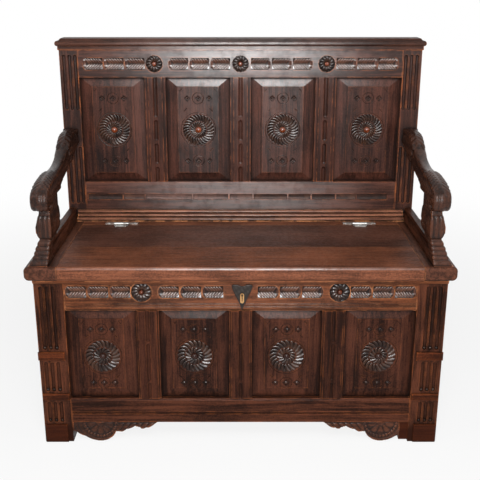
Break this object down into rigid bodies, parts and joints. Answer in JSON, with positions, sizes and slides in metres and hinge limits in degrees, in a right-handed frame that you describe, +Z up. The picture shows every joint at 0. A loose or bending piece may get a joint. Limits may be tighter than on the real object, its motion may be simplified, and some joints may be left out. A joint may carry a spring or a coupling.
{
  "type": "settle bench",
  "caption": "Carved oak box settle with a panelled chest, hinged seat lid, panelled back and open arms.",
  "frame": {"origin": "on the floor, at the middle of the settle's width and depth", "axes": "+X to the right seen from the front, +Y to the back, +Z up"},
  "size_m": [1.11, 0.5103, 1.048],
  "materials": {
    "carved_oak": "waxed dark oak, worn edges",
    "panel_oak": "waxed dark oak",
    "seat_oak": "waxed oak boards, satin",
    "inner_oak": "dry unpolished oak",
    "polished_boss": "polished turned wood",
    "hinge_steel": "worn steel",
    "lock_iron": "blackened iron",
    "keyhole_brass": "aged brass"
  },
  "bodies": {
    "carcass": {"apron_left": "carved_oak", "apron_right": "carved_oak", "arm_left": "carved_oak", "arm_right": "carved_oak", "arm_support_left": "carved_oak", "arm_support_right": "carved_oak", "back_bottom_rail": "carved_oak", "back_foot_moulding": "carved_oak", "back_frieze_rail": "carved_oak", "back_muntin_centre": "carved_oak", "back_muntin_left": "carved_oak", "back_muntin_right": "carved_oak", "back_panel_1": "panel_oak", "back_panel_2": "panel_oak", "back_panel_3": "panel_oak", "back_panel_4": "panel_oak", "chest_back_bottom_rail": "inner_oak", "chest_back_panel": "inner_oak", "chest_back_top_rail": "inner_oak", "chest_floor_boards": "inner_oak", "cornice": "carved_oak", "escutcheon": "lock_iron", "front_bottom_rail": "carved_oak", "front_frieze_rail": "carved_oak", "front_muntin_centre": "carved_oak", "front_muntin_left": "carved_oak", "front_muntin_right": "carved_oak", "front_panel_1": "panel_oak", "front_panel_2": "panel_oak", "front_panel_3": "panel_oak", "front_panel_4": "panel_oak", "front_stile_left": "carved_oak", "front_stile_right": "carved_oak", "hinge_fixed_leaves": "hinge_steel", "hinge_pins": "hinge_steel", "hinge_screws_seat": "hinge_steel", "keyhole_bush": "keyhole_brass", "lock_case": "lock_iron", "panel_bosses": "polished_boss", "rear_post_left": "carved_oak", "rear_post_right": "carved_oak", "seat_bed_moulding": "carved_oak", "seat_end_left": "seat_oak", "seat_end_right": "seat_oak", "seat_rear_strip": "seat_oak", "seat_side_rail_left": "carved_oak", "seat_side_rail_right": "carved_oak", "side_bottom_rail_left": "carved_oak", "side_bottom_rail_right": "carved_oak", "side_panel_left": "panel_oak", "side_panel_right": "panel_oak", "side_top_rail_left": "carved_oak", "side_top_rail_right": "carved_oak", "stile_blocks": "carved_oak"},
    "lid": {"lid_front_board": "seat_oak", "lid_rear_board": "seat_oak", "hinge_lid_leaves": "hinge_steel", "hinge_screws_lid": "hinge_steel", "lock_staple": "lock_iron"},
    "lock_bolt": {"lock_bolt": "lock_iron"}
  },
  "joints": [
    {"name": "lid_hinge", "type": "hinge", "parent": "carcass", "child": "lid", "pos_m": [0, 0.128, 0.5173], "axis": [-1, 0, 0], "range_deg": [0, 100]},
    {"name": "bolt_slide", "type": "slide", "parent": "carcass", "child": "lock_bolt", "axis": [1, 0, 0], "range_m": [0, 0.012]}
  ]
}
